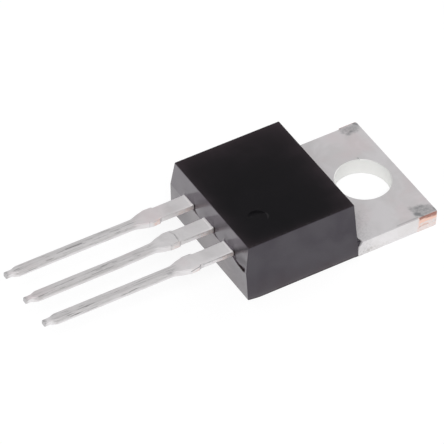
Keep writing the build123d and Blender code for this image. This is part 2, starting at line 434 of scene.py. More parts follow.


# Colours are laid over one another in turn: tin, thin plating, the root's painted light, lines with
# the pins' painted shade and highlight, cut sides, copper, dirt with painted shade, and scores. The bump
# is the grain less the depth of the lines and scores.
def tinMaterial(name, look):
    material, shade, shader = startMaterial(name)
    cut, fresh, torn, bare, burnt, smudge, drawn, score, root = map(shade.attribute, tinMarks)
    grain = shade.use(surfaceGrain, Scale=1 / look["grainSize"])
    slow = shade.use(handlingBlotches, Scale=look["blotchScale"], Low=0.38, High=0.68)["Mask"]
    thin = shade.use(handlingBlotches, Scale=300.0, Low=0.48, High=0.7)["Mask"]
    lines = shade.use(stripLines, Along=look["lineAlong"], Across=look["lineAcross"], Low=0.46,
                      High=0.66)["Mask"]
    dashes = shade.use(stripLines, Along=800.0, Across=12000.0, Low=0.56, High=0.69)["Mask"]
    copper = shade.use(brokenMask, Painted=bare, Scale=6000.0, Bite=1.0, Low=0.15, High=0.95)["Mask"]
    dirtAndShade = shade.use(brokenMask, Painted=smudge, Scale=6500.0, Bite=0.7, Low=0.1, High=1.05)["Mask"]
    pitted = shade.use(brokenMask, Painted=torn, Scale=6500.0, Bite=1.5, Low=0.35, High=0.9)["Mask"]
    tin = shade.mix(shade.times(slow, look["blotchAmount"]), look["tin"], look["deep"])
    tinted = shade.mix(shade.times(thin, look["thinAmount"]), tin, look["thin"])
    lined = shade.times(lines, drawn)
    lineShade = shade.timesPlus(lined, look["lineAmount"], shade.times(drawn, look["drawnShade"]))
    # Painted light: the root's whiter tin.
    streaked = shade.mix(lineShade, shade.mix(root, tinted, look["rootPaintedLight"]), look["deep"])
    punched = shade.mix(shade.times(slow, 0.6), look["cutTin"], look["cutDeep"])
    burnished = shade.mix(fresh, shade.mix(pitted, punched, look["tornTin"]), look["boreTin"])
    copperTone = shade.mix(burnt, look["copper"], look["burntCopper"])
    withCopper = shade.mix(copper, shade.mix(cut, streaked, burnished), copperTone)
    # Dirt, and painted shade, darken the tin towards the dull colour.
    dirtyAndShaded = shade.times(dirtAndShade, look["dullAmount"])
    dashed = shade.times(shade.times(dashes, drawn), look["dashAmount"])
    scored = shade.larger(dashed, shade.times(score, shade.remap(grain["Tone"], 0.0, 1.0, 0.65, 1.0)))
    rough = shade.remap(cut, 0.0, 1.0, look["roughness"], look["cutRoughness"])
    metal = shade.remap(shade.larger(dirtyAndShaded, root), 0.0, 1.0, look["metallic"], look["dullMetallic"])
    ridges = shade.timesPlus(shade.larger(lined, scored), -0.8, grain["Height"])
    shade.fill(shader, {
        "Base Color": shade.mix(scored, shade.mix(dirtyAndShaded, withCopper, look["dull"]), look["scored"]),
        "Roughness": shade.timesPlus(slow, 0.1, rough),
        "Metallic": metal,
        "Normal": shade.bump(ridges, look["grainDepth"]),
    })
    return material


# Pieces sealed inside the moulding: a plain metal or silicon with its own grain.
def innerMaterial(name, first, second, roughness, grainSize, depth, metallic):
    material, shade, shader = startMaterial(name)
    grain = shade.use(surfaceGrain, Scale=1 / (grainSize * mm))
    slow = shade.use(handlingBlotches, Scale=0.12 / (grainSize * mm))["Mask"]
    shade.fill(shader, {
        "Base Color": shade.mix(slow, first, second),
        "Roughness": shade.timesPlus(grain["Tone"], 0.12, roughness),
        "Metallic": metallic,
        "Normal": shade.bump(grain["Height"], depth * mm),
    })
    return material


# Name, two colours, roughness, grain size and depth in mm, and metallic.
innerLooks = {
    "transistor_die": ("polishedSilicon", (0.22, 0.24, 0.29), (0.3, 0.31, 0.36), 0.16, 0.02, 0.0002, 0.85),
    "die_attach_solder": ("dullSolder", (0.42, 0.42, 0.44), (0.52, 0.52, 0.53), 0.42, 0.04, 0.002, 0.9),
    "base_bond_wire": ("drawnAluminium", (0.74, 0.74, 0.75), (0.66, 0.66, 0.68), 0.28, 0.02, 0.001, 1.0),
}
innerMaterials = {nodeName: innerMaterial(*look) for nodeName, look in innerLooks.items()}
for nodeName in ("emitter_bond_wire_inner", "emitter_bond_wire_outer"):
    innerMaterials[nodeName] = innerMaterials["base_bond_wire"]
for nodeName, material in innerMaterials.items():
    frame["nodes"][nodeName].data.materials.clear()
    frame["nodes"][nodeName].data.materials.append(material)
print("materials made")


# Moulding: drafted walls that meet at the parting plane, a step between the mould halves along the
# lead end, and the round ejector mark on top. Lists by lead go emitter, collector, base. A mark goes from
# one place to another and has a half width and a strength, as in strokes.
mouldingShape = {
    "backGap": 0.02,  # the plastic's back stands this far in from the tab's
    "footHalfWidth": 5.11,
    "earLength": 0.265,
    "sideDraft": math.radians(4.57),
    "rearDraft": math.radians(4.95),
    "lowerFrontDraft": math.radians(3.8),
    "upperFrontDraft": math.radians(6.0),
    "cornerRounding": 0.06,
    "footRounding": 0.05,
    "footTaper": 0.12,  # the foot narrows at the lead end's corners
    "taperRun": 1.0,
    "topRounding": 0.1,
    "ledge": 0.012,  # the step between the mould halves, along the whole lead end
    "ledgeByLeads": 0.05,  # added beside each lead
    "ledgeFades": (0.55, 1.5),  # over these distances from the lead's middle line
    "ledgeStarts": (0.4, 0.58),
    "ledgeByCorner": 0.11,  # added towards the emitter's corner
    "ledgeDip": 0.22,  # and how far the step sags there
    "dipRun": (0.35, 1.25),  # beyond the emitter's middle line
    "dipHeight": 0.45,
    "ledgeEnd": 4.62,  # half width of the step
    "ledgeFade": 1.3,  # height over which the upper wall comes back to its plane
    "rootSwell": (0.085, 0.025, 0.055),  # resin drawn out over the leads' roots
    "swellHalf": (0.54, 0.7),
    "swellHeight": 0.13,
    "markRadius": 0.665,
    "markDepth": -0.03,
    "markTilt": 0.18,  # the pin stood askew: deep on one side, flush on the other
    "markBearing": math.radians(80),
    "markInset": 2.06,  # in from the foot at the lead end
    "markOffset": -2.53,  # across from the centre lead's line
    # The lip's highlight is painted, strongest at this bearing.
    "lipBearing": math.radians(-14),  # where its lip is rubbed
    # Painted shade beside each lead's root, where it meets the wall, from the lead's middle line and from
    # the parting plane.
    "chips": [(0.5, 0.5, -0.58, 0.5, 0.08, 0.35), (-0.64, 0.42, -0.7, 0.2, 0.11, 1.3),
              (-0.7, 0.2, -0.95, 0.02, 0.05, 0.9)],
    # Painted reflections of the leads: darker, less glossy bands that lead away from each root, then their
    # strength by lead.
    "bands": [(-0.7, 0.55, -2.05, 1.85, 0.2, 1.0), (0.45, 0.85, -0.45, 0.8, 0.25, 0.35)],
    "bandStrength": (0.62, 0.42, 0.28),
    # The same for the emitter alone: painted shade along the step by the corner, and a darker, less glossy
    # patch of painted shade above it.
    "crack": [(-0.78, -0.05, -1.15, -0.17, 0.06, 0.7), (-1.15, -0.17, -1.98, -0.24, 0.08, 0.72)],
    "cornerDull": [(-0.95, 0.15, -1.95, 0.55, 0.42, 0.36)],
    # painted light along the foot, paler towards the walls' lower edge
    "footFlash": 0.16,  # how high the flash runs up from the foot
    # Painted sheen on the top, paler towards its edges: strength and run of a short fall, then of a long
    # one.
    "hazeFrom": {"far": (0.55, 0.45, 0.35, 1.8), "rear": (0.45, 0.5, 0.15, 2.0),
                 "near": (0.35, 0.25, 0.0, 1.0), "front": (0.35, 0.4, 0.0, 1.0)},
    # Ears beside the tab's neck. Each tongue has a place and a width as shares of the height, and a reach.
    "earShort": 0.09,  # of the shoulder
    "earLean": 0.2,
    "earTongues": ((0.97, 0.09, 0.08), (0.0, 0.25, 0.05)),
    "earRagged": 0.03,
    "earDepth": 0.5,
    "earRounding": 0.03,
}


# Rings from the middle of the back, out over the foot, up the walls and over the top's edge, then in
# across the top to the ejector mark and down into it. On the way in, a ring is a share of the way
# from the top's outline to the mark's circle.
def mouldingShell():
    shape = SimpleNamespace(**mouldingShape)
    top, back = caseHigh[2], caseLow[2] + shape.backGap
    foot, crown, quarter = shape.footRounding, shape.topRounding, np.linspace(0, np.pi / 2, 6)
    backInset = [4.0, 1.0, 0.1]  # rings on the back
    lower = np.linspace(back + foot, parting - 0.03, 12)[1:]
    upper = parting + 0.03 + (top - crown - parting - 0.03) * np.linspace(0, 1, 30)[:-1] ** 1.3
    step, stepShare = parting + np.array([-0.012, -0.003, 0, 0, 0.003, 0.012]), [0, 0.04, 0.2, 0.92, 1, 1]
    z = np.concatenate([np.full(len(backInset), back), back + foot * (1 - np.cos(quarter)), lower, step,
                        upper, top - crown * (1 - np.sin(quarter))])
    inset = np.concatenate([backInset, foot * (1 - np.sin(quarter)), 0 * lower, 0 * step, 0 * upper,
                            crown * (1 - np.cos(quarter))])
    stepRow = len(backInset) + len(quarter) + len(lower)
    onLedge = np.concatenate([np.zeros(stepRow), stepShare, np.ones(len(upper) + len(quarter))])
    z, inset, onLedge = z[:, None], inset[:, None], onLedge[:, None]
    frontLow = leadEnd + (parting - np.minimum(z, parting)) * np.tan(shape.lowerFrontDraft)
    front = frontLow + np.maximum(z - parting, 0) * np.tan(shape.upperFrontDraft)
    rear = tabShoulder - shape.earLength - (z - tabTop) * np.tan(shape.rearDraft)
    half = shape.footHalfWidth - z * np.tan(shape.sideDraft)
    steps, cornerSteps = (90, 90, 240, 90), 6  # round the loop: rear, far side, front, near side
    x, y = roundedLoops(front + inset, rear - inset, -half + inset, half - inset,
                        [shape.cornerRounding] * 4, cornerSteps, steps)
    tapered = np.clip(1 - (x - front) / shape.taperRun, 0, 1) ** 1.5 * (1 - np.clip(z / parting, 0, 1))
    y = y * (1 - shape.footTaper / half * tapered)
    middles = (-leadPitch, 0, leadPitch)
    byLeads = sum(softStep(middle - y, *shape.ledgeStarts) * fade(middle - y, *shape.ledgeFades)
                  for middle in middles)
    ledge = shape.ledge * fade(y, leadPitch + 0.3, leadPitch + 0.9) + shape.ledgeByLeads * byLeads
    ledge = ledge + shape.ledgeByCorner * fade(y, -shape.ledgeEnd, -leadPitch - 0.4)
    ledge = ledge * fade(np.abs(y), shape.ledgeEnd, shape.ledgeEnd + 0.06)
    ledge = ledge * fade(z - parting, 0.05, shape.ledgeFade)
    nearFront = fade(x - front - inset, 0.02, 0.09)
    swell = sum(reach * fade(np.abs(y - middle), *shape.swellHalf)
                for middle, reach in zip(middles, shape.rootSwell))
    x = x + (onLedge * ledge - swell * bell(z - leadHigh[2], shape.swellHeight)) * nearFront
    dip = softStep(-y - leadPitch, *shape.dipRun) * bell(z - parting, shape.dipHeight)
    walls = pointsOf(x, y, z - shape.ledgeDip * dip * nearFront)

    markX, markY = leadEnd + parting * np.tan(shape.lowerFrontDraft) + shape.markInset, shape.markOffset
    rim, radius = walls[-1], shape.markRadius
    bearing = np.arctan2(rim[:, 1] - markY, rim[:, 0] - markX)
    share = np.array([0.012, 0.04, 0.1, 0.2, 0.32, 0.45, 0.58, 0.7, 0.8, 0.88, 0.94, 0.98])[:, None]
    reach = radius + 0.06
    inward = pointsOf(rim[:, 0] + (markX + reach * np.cos(bearing) - rim[:, 0]) * share,
                      rim[:, 1] + (markY + reach * np.sin(bearing) - rim[:, 1]) * share, top)
    out = np.array([0.05, 0.025, 0.008, 0.0, -0.004, -0.012, -0.03, -0.06, -0.3])[:, None] + radius
    down = np.array([0.0, 0.002, 0.012, 0.04, 0.5, 0.86, 0.97, 1.0, 1.0])[:, None]
    tilt = shape.markTilt * np.cos(bearing - shape.markBearing) * out / radius
    sunk = top - down * np.maximum(shape.markDepth + tilt, 0)
    well = pointsOf(markX + out * np.cos(bearing), markY + out * np.sin(bearing), sunk)

    points = np.concatenate([walls, inward, well])
    px, py, pz = np.moveaxis(points, -1, 0)
    isWall = np.zeros((len(points), 1))
    firstWall = len(backInset) + len(quarter) // 2  # half way round the foot
    isWall[firstWall:len(walls) - 4] = 1.0
    column, frontFrom = np.arange(points.shape[1]), sum(steps[:2]) + 3 * (cornerSteps + 1)
    frontTo = frontFrom + steps[2]
    onFront = isWall * softStep(column, frontFrom - 3, frontFrom) * fade(column, frontTo - 1, frontTo + 2)
    isUpper = softStep(pz, parting - 0.05, parting + 0.05)
    roots = [(py - middle, pz - parting) for middle in middles]
    # Painted reflections of the leads and painted shade: darker, less glossy bands from each lead's root,
    # and a patch above the emitter's corner, taken off the polish.
    dull = sum(strength * strokes(*root, shape.bands) for root, strength in zip(roots, shape.bandStrength))
    dull = dull + isUpper * strokes(*roots[0], shape.cornerDull)
    polish = isWall * 0.5 + (0.37 + 0.13 * isUpper - dull) * onFront
    # Painted sheen, paler towards the top's edges: it falls off from each edge as two exponentials, a short
    # one and a long one.
    outerHalf = shape.footHalfWidth - top * np.tan(shape.sideDraft)
    inFrom = {"far": outerHalf - py, "near": outerHalf + py, "front": px - rim[:, 0].min(),
              "rear": rim[:, 0].max() - px}
    haze = sum(high * np.exp(-inFrom[name] / shortRun) + low * np.exp(-inFrom[name] / longRun)
               for name, (high, shortRun, low, longRun) in shape.hazeFrom.items())
    haze = haze * softStep(pz, top - 0.09, top - 0.05)
    edge = np.zeros(px.shape)
    edge[firstWall:firstWall + 3] = 0.8
    edge[len(walls) - 5:len(walls)] = 0.45
    lipStart = len(walls) + len(inward)
    # A painted highlight on the ejector mark's lip, strongest at one bearing.
    edge[lipStart:lipStart + 4] = bell(np.angle(np.exp(1j * (bearing - shape.lipBearing))), 0.55)
    # Painted shade beside each lead's root, and along the step by the emitter's corner.
    chips = [strokes(*root, shape.chips) for root in roots] + [strokes(*roots[0], shape.crack)]
    # Flash: pale resin bled over the front, most of it under the parting plane between the leads. Along
    # the foot it is painted light: a paler band against the shade at the walls' lower edge.
    flash = onFront * (0.18 + (1 - isUpper) * (0.12 + 0.42 * fade(np.abs(py), 1.6, 3.4)))
    # Painted light along the foot: paler towards the walls' lower edge.
    flash = np.maximum(flash, isWall * 0.8 * np.exp(-pz / shape.footFlash))
    chipped = np.max(chips, axis=0) * onFront
    return shell(points, polish=polish, edge=edge, haze=haze, flash=flash, chipped=chipped)


# Ears: the plastic that fills the notches beside the tab's neck. Each is a stack of rounded rectangles
# whose free end leans back by a square, comes out as the sum of the tongues' bells, and wavers.
def earShells():
    shape = SimpleNamespace(**mouldingShape)
    back = caseLow[2] + shape.backGap
    level = np.linspace(0, 1, 24)[:, None]
    height = back + (tabTop - back) * level
    outer = shape.footHalfWidth - height * np.tan(shape.sideDraft) - 0.01
    inner = shape.footHalfWidth - shape.earDepth
    tongues = sum(reach * bell(level - at, width) for at, width, reach in shape.earTongues)
    shells = []
    for side in (-1, 1):
        ragged = shape.earRagged * waver(height, 0, 0.35, 5 + side)
        end = tabShoulder - shape.earShort - shape.earLean * (1 - level) ** 2 + tongues + ragged
        low, high = (inner, outer) if side > 0 else (-outer, -inner)
        x, y = roundedLoops(tabShoulder - shape.earDepth, end, low, high, [shape.earRounding] * 4, 3, 4)
        shells.append(shell(pointsOf(x, y, height), polish=0.4))
    return shells


makePiece("epoxyMoulding", [mouldingShell(), *earShells()], epoxyMaterial(), "epoxy", "moulded_case")


# Tab and header: one plate with the mounting hole, blanked from above. Values by side go by its sign.
plateShape = {
    "endRounding": 0.15,
    "tabHalf": {1: 4.995, -1: 5.14},
    "stubOut": {1: 0.1, -1: 0.02},  # sheared tie bars beyond the tab's sides
    "stubFrom": {1: 1.27, -1: 1.2},
    "neckHalf": 4.8,
    "neckRun": 0.82,
    "headerHalf": 4.2,
    "headerFront": -9.84,
    "headerRounding": 0.32,
    "undercut": 0.25,
    "topRoll": 0.06,
    "lowEdge": 0.02,
    "holeRoll": 0.05,
    "holeOff": -0.05,  # the hole's middle, across from the centre lead's line
    "nick": (0.86, 1.8),  # its place at the hole's rim
    "nickDepth": 0.1,
    "shoulderLean": 0.27,  # of the blanked side where the neck widens
    "tearFrom": (0.55, 0.72),  # past these shares of the way down, the side tore and wasn't cut
    "tearDepth": 0.012,
    "ragged": 0.008,
    # Marks on the top: from (x, y) to (x, y), half width and strength.
    "smudges": [(1.5, -4.45, 2.3, -4.65, 0.42, 0.66), (1.6, -4.9, 2.5, -4.92, 0.24, 0.62),
                (1.22, -4.05, 1.34, -4.5, 0.24, 0.6), (1.3, -4.66, 1.42, -4.78, 0.24, 1.1),
                (1.5, -4.2, 2.0, -4.24, 0.24, 0.8), (2.0, -4.24, 2.55, -4.5, 0.22, 0.6),
                (2.58, -4.7, 2.62, -4.98, 0.14, 0.8), (1.4, -4.95, 1.6, -5.04, 0.12, 0.8),
                (1.5, 4.72, 2.35, 4.66, 0.42, 0.62), (1.36, 4.98, 1.32, 4.55, 0.24, 0.55),
                (1.5, 4.34, 2.2, 4.34, 0.26, 0.62), (1.84, 4.4, 1.88, 4.4, 0.2, 0.85),
                (1.53, 4.24, 1.6, 4.24, 0.17, 0.75), (2.45, 4.95, 2.6, 4.78, 0.17, 0.9),
                # The last mark is painted shade on the tab beside the moulding's near rear corner.
                (-3.1, -4.6, -2.5, -3.0, 1.0, 0.33)],
    "scores": [(-0.45, -5.0, 1.15, -5.0, 0.05, 0.45), (0.84, 1.78, 0.82, 1.93, 0.05, 0.7),
               (0.7, 1.82, 0.98, 1.76, 0.03, 0.35)],
}


# Half width of the plate at a distance along it: header, neck, tab and tie-bar stub in turn, each a
# smooth step out from the one before.
def plateHalf(x, side):
    shape = SimpleNamespace(**plateShape)
    neckEnd, stub = tabShoulder - shape.neckRun, shape.stubFrom[side]
    half = shape.headerHalf + (shape.neckHalf - shape.headerHalf) * softStep(x, neckEnd - 0.05, neckEnd)
    half = half + (shape.tabHalf[side] - shape.neckHalf) * softStep(x, tabShoulder, tabShoulder + 0.04)
    return half + shape.stubOut[side] * softStep(x, stub - 0.04, stub + 0.05)


# Half an outline, from the middle of the free end round to the middle of the header's front, with the
# way out of the plate at each point. The corners of the end and of the front are quarter circles.
def halfOutline(side):
    shape = SimpleNamespace(**plateShape)
    end, rounding = plateHigh[0], shape.endRounding
    front, frontRounding = shape.headerFront, shape.headerRounding
    neckEnd, stub = tabShoulder - shape.neckRun, shape.stubFrom[side]
    stops = [end - rounding, stub + 0.1, stub - 0.1, tabShoulder + 0.12, tabShoulder - 0.1, neckEnd + 0.1,
             neckEnd - 0.15, front + frontRounding]
    counts = (24, 18, 60, 26, 10, 16, 40)
    run = np.concatenate([np.linspace(start, stop, count, endpoint=False)
                          for start, stop, count in zip(stops, stops[1:], counts)])[1:]
    half = plateHalf(np.array(end), side) - rounding
    turn = np.linspace(0, np.pi / 2, 8)
    back = turn[::-1]
    acrossEnd, acrossFront = np.linspace(0, 1, 33, endpoint=False), np.linspace(1, -1, 62)[1:31]
    x = np.concatenate([end + 0 * acrossEnd, end - rounding + rounding * np.cos(turn), run,
                        front + frontRounding * (1 - np.cos(back)), front + 0 * acrossFront])
    y = np.concatenate([half * acrossEnd, half + rounding * np.sin(turn), plateHalf(run, side),
                        shape.headerHalf - frontRounding * (1 - np.sin(back)),
                        acrossFront * (shape.headerHalf - frontRounding)])
    outX = np.concatenate([0 * acrossEnd + 1, np.cos(turn), 0 * run, -np.cos(back), 0 * acrossFront - 1])
    outY = np.concatenate([0 * acrossEnd, np.sin(turn), 0 * run + 1, np.sin(back), 0 * acrossFront])
    return np.stack([x, side * y, outX, side * outY])


# Rings run over the top from the hole's rim to the outline, down the outside, back under the plate
# and up the hole's wall. A ring on a face is a share of the way from the hole's circle to the outline.
def plateShell():
    shape = SimpleNamespace(**plateShape)
    x, y, outX, outY = np.hstack([halfOutline(1), halfOutline(-1)[:, :0:-1]])
    top, roll, low, holeRoll = tabTop, shape.topRoll, shape.lowEdge, shape.holeRoll
    bearing = np.arctan2(y, x)
    quarter = np.linspace(0, np.pi / 2, 6)
    ragged = waver(x, y, 0.9, 3) * shape.ragged

    def ringAtRim(radius, z):
        return pointsOf(radius * np.cos(bearing), radius * np.sin(bearing) + shape.holeOff, z)

    def ringAtEdge(inset, z):
        tucked = inset + shape.undercut * (1 - z / top) * softStep(-x, shape.neckRun - tabShoulder, 4.35)
        return pointsOf(x - outX * tucked, y - outY * tucked, z)

    def between(first, last, shares):
        return first + (last - first) * eased(shares)[:, None, None]

    nicked = bell(bearing - math.atan2(shape.nick[1], shape.nick[0]), 0.06) * shape.nickDepth
    rim = ringAtRim(boreRadius + holeRoll + nicked, top)
    face = between(rim, ringAtEdge(roll, top), np.linspace(0, 1, 56))
    edgeRows = [ringAtEdge(roll * (1 - np.sin(a)), top - roll * 1.3 * (1 - np.cos(a))) for a in quarter[1:]]
    levels = np.linspace(top - roll * 1.3 - 0.03, low + 0.02, 14)
    broken = softStep(1 - levels / top, *shape.tearFrom)
    sideRows = [ringAtEdge((ragged + shape.tearDepth) * share, z) for z, share in zip(levels, broken)]
    lowRows = [ringAtEdge(inset + ragged, z) for inset, z in ((0.012, low), (0.02, 0.004), (0.04, 0.0))]
    under = between(lowRows[-1], ringAtRim(boreRadius + 0.02, 0.0), np.linspace(0, 1, 16)[1:])
    wall = [ringAtRim(boreRadius, z) for z in [0.02, *np.linspace(0.06, top - holeRoll - 0.02, 12)]]
    rollRows = [ringAtRim(boreRadius + (holeRoll + nicked) * (1 - np.cos(a)),
                          top - holeRoll * (1 - np.sin(a))) for a in quarter[:-1]]
    points = np.concatenate([face, edgeRows + sideRows + lowRows, under, wall + rollRows])

    row = np.arange(len(points))[:, None]
    firstSide, firstLow = len(face) + 3, len(face) + len(edgeRows) + len(sideRows)
    fresh = np.broadcast_to(1.0 * (row >= firstLow + 3 + len(under)), points.shape[:2])
    cut = np.maximum(fresh, (row >= firstSide) & (row < firstLow + 2))
    px, py, pz = np.moveaxis(points, -1, 0)
    depth, isFar = (top - pz) / top, np.sign(py) > 0
    outside = softStep(np.abs(py), 4.85, 4.94)
    start = np.where(isFar, shape.stubFrom[1], shape.stubFrom[-1])
    atStub = softStep(px, start - 0.02, start + 0.06) * outside * np.where(isFar, 0.75, 1.0)
    level = depth + 0.05 * waver(px, py, 0.7, 7)
    torn = softStep(level, 0.5, 0.8) * cut * (1 - fresh) * (0.45 - 0.13 * softStep(px, -2.6, -0.5))
    upperBand = fade(level, 0.36, 0.46)
    middleBand = softStep(level, 0.5, 0.54) * fade(level, 0.62, 0.7) * fade(px, start + 0.7, start + 1.0)
    startStreak = 0.48 * bell(px - start - 0.02, 0.12) * outside
    halfHere = np.where(isFar, plateHalf(px, 1), plateHalf(px, -1))
    sheared = np.maximum(cut, softStep(np.abs(py) - halfHere, -0.12, -0.05))
    bands = np.maximum(np.maximum(0.92 * upperBand, 0.7 * middleBand), 0.42)
    bare = sheared * np.maximum(atStub * bands, startStreak)
    darkBand = 0.7 * softStep(level, 0.56, 0.6) * fade(level, 0.66, 0.7)
    burntTo = 0.13 + 0.09 * softStep(px, start, 2.5)
    burnt = atStub * sheared * np.maximum(fade(level, burntTo - 0.04, burntTo + 0.03), darkBand)
    onTop = softStep(pz, top - 0.1, top - 0.02)
    brokenEnd = 0.34 * fade(px, tabShoulder + 0.2, tabShoulder + 1.7) * outside * cut
    smudge = np.maximum(strokes(px, py, shape.smudges) * onTop, brokenEnd)
    score = strokes(px, py, shape.scores) * onTop
    nearShoulder = bell(px - tabShoulder, 0.3) * softStep(np.abs(py), 4.7, 4.9)
    points[..., 0] -= shape.shoulderLean * softStep(depth, 0.05, 0.45) * nearShoulder
    return shell(points, caps=(), cut=cut, fresh=fresh, torn=torn, bare=bare, burnt=burnt, smudge=smudge,
                 drawn=0.0, score=score, root=0.0)


# Leads: a rounded strip section carried along X. half gives the half width at a distance out from
# the moulding: bonding post, shoulder, sheared dam bar, taper, pin, and the nib left by the end cut.
leadShape = {
    "half": [(-2.05, 1.3), (-0.66, 1.3), (-0.64, 0.59), (0.0, 0.6), (0.25, 0.592), (1.8, 0.572),
             (2.46, 0.572), (2.56, 0.675), (3.18, 0.688), (3.28, 0.655), (3.45, 0.6), (3.65, 0.56),
             (3.85, 0.5), (4.05, 0.42), (4.28, 0.345), (4.45, 0.335), (13.12, 0.335), (13.5, 0.2),
             (13.62, 0.19), (14.04, 0.185)],
    "innerHalf": 0.59,  # of the centre lead inside the moulding
    "topRoll": 0.085,
    "lowRounding": 0.025,
    "crown": 0.012,
    "rootLip": 0.028,  # plating and resin drawn up where the strip leaves the moulding
    "droop": 0.05,  # the centre lead's set below the others, past the dam bar
    "drift": -0.07,
    "waviness": 0.012,
    "settling": (2.8, 7.5),  # distance out over which the droop and drift come on
    "creaseAt": 2.64,  # punch mark across the centre lead
    "creaseBow": -0.13,
    "creaseDepth": 0.022,
    "nibThinning": 0.09,  # the nib's underside stands this much higher
    "joggleFrom": 0.45,
    "joggleTo": 2.15,
    # Copper left bare at the sheared dam bar.
    "copperLeft": {"base": 0.5, "collector": 0.36, "emitter": 0.3},
    # Fine lines: distance out and across from the lead's middle line at both ends, half width, strength.
    "scores": {
        "base": [(8.27, -0.05, 9.44, -0.03, 0.045, 1.15), (9.4, -0.03, 10.15, -0.07, 0.03, 0.7),
                 (10.7, -0.02, 11.0, -0.02, 0.02, 0.5), (8.3, -0.3, 9.8, -0.29, 0.018, 0.4),
                 (5.2, -0.08, 6.1, -0.05, 0.02, 0.5), (6.3, -0.2, 7.3, -0.18, 0.018, 0.35),
                 (3.34, -0.56, 3.4, -0.75, 0.03, 0.5), (2.5, 0.66, 3.1, 0.68, 0.02, 0.4)],
        "collector": [(2.67, 0.53, 2.51, 0.19, 0.035, 0.5), (2.51, 0.19, 2.53, -0.09, 0.04, 0.75),
                      (2.53, -0.09, 2.56, -0.32, 0.045, 0.8), (2.56, -0.32, 2.6, -0.55, 0.03, 0.5),
                      (3.22, -0.64, 3.24, -0.72, 0.05, 0.5), (2.62, -0.56, 3.0, -0.6, 0.02, 0.4),
                      (7.05, 0.0, 7.4, 0.02, 0.03, 0.6), (8.3, -0.08, 8.7, -0.1, 0.03, 0.6),
                      (9.15, -0.02, 9.35, -0.03, 0.025, 0.5), (7.5, -0.26, 8.0, -0.25, 0.02, 0.4),
                      (5.0, -0.05, 5.9, -0.02, 0.02, 0.45)],
        "emitter": [(2.48, 0.6, 3.15, 0.66, 0.028, 0.6), (2.2, -0.57, 2.5, -0.58, 0.03, 0.4),
                    (4.9, 0.05, 5.6, 0.04, 0.02, 0.45), (6.4, -0.12, 7.3, -0.1, 0.02, 0.5),
                    (8.8, 0.02, 9.6, 0.05, 0.02, 0.4)],
    },
    # Marks on the near side, the same but with the distance down from the top. The long first mark on
    # each lead is painted shade along the upper part of the side.
    "sideMarks": {
        "base": [(0.1, 0.12, 2.2, 0.12, 0.08, 0.28)],
        "collector": [(0.1, 0.12, 2.2, 0.12, 0.09, 0.5)],
        "emitter": [(0.1, 0.12, 2.2, 0.12, 0.1, 0.66), (2.45, 0.05, 3.2, 0.2, 0.055, 0.9)],
    },
}


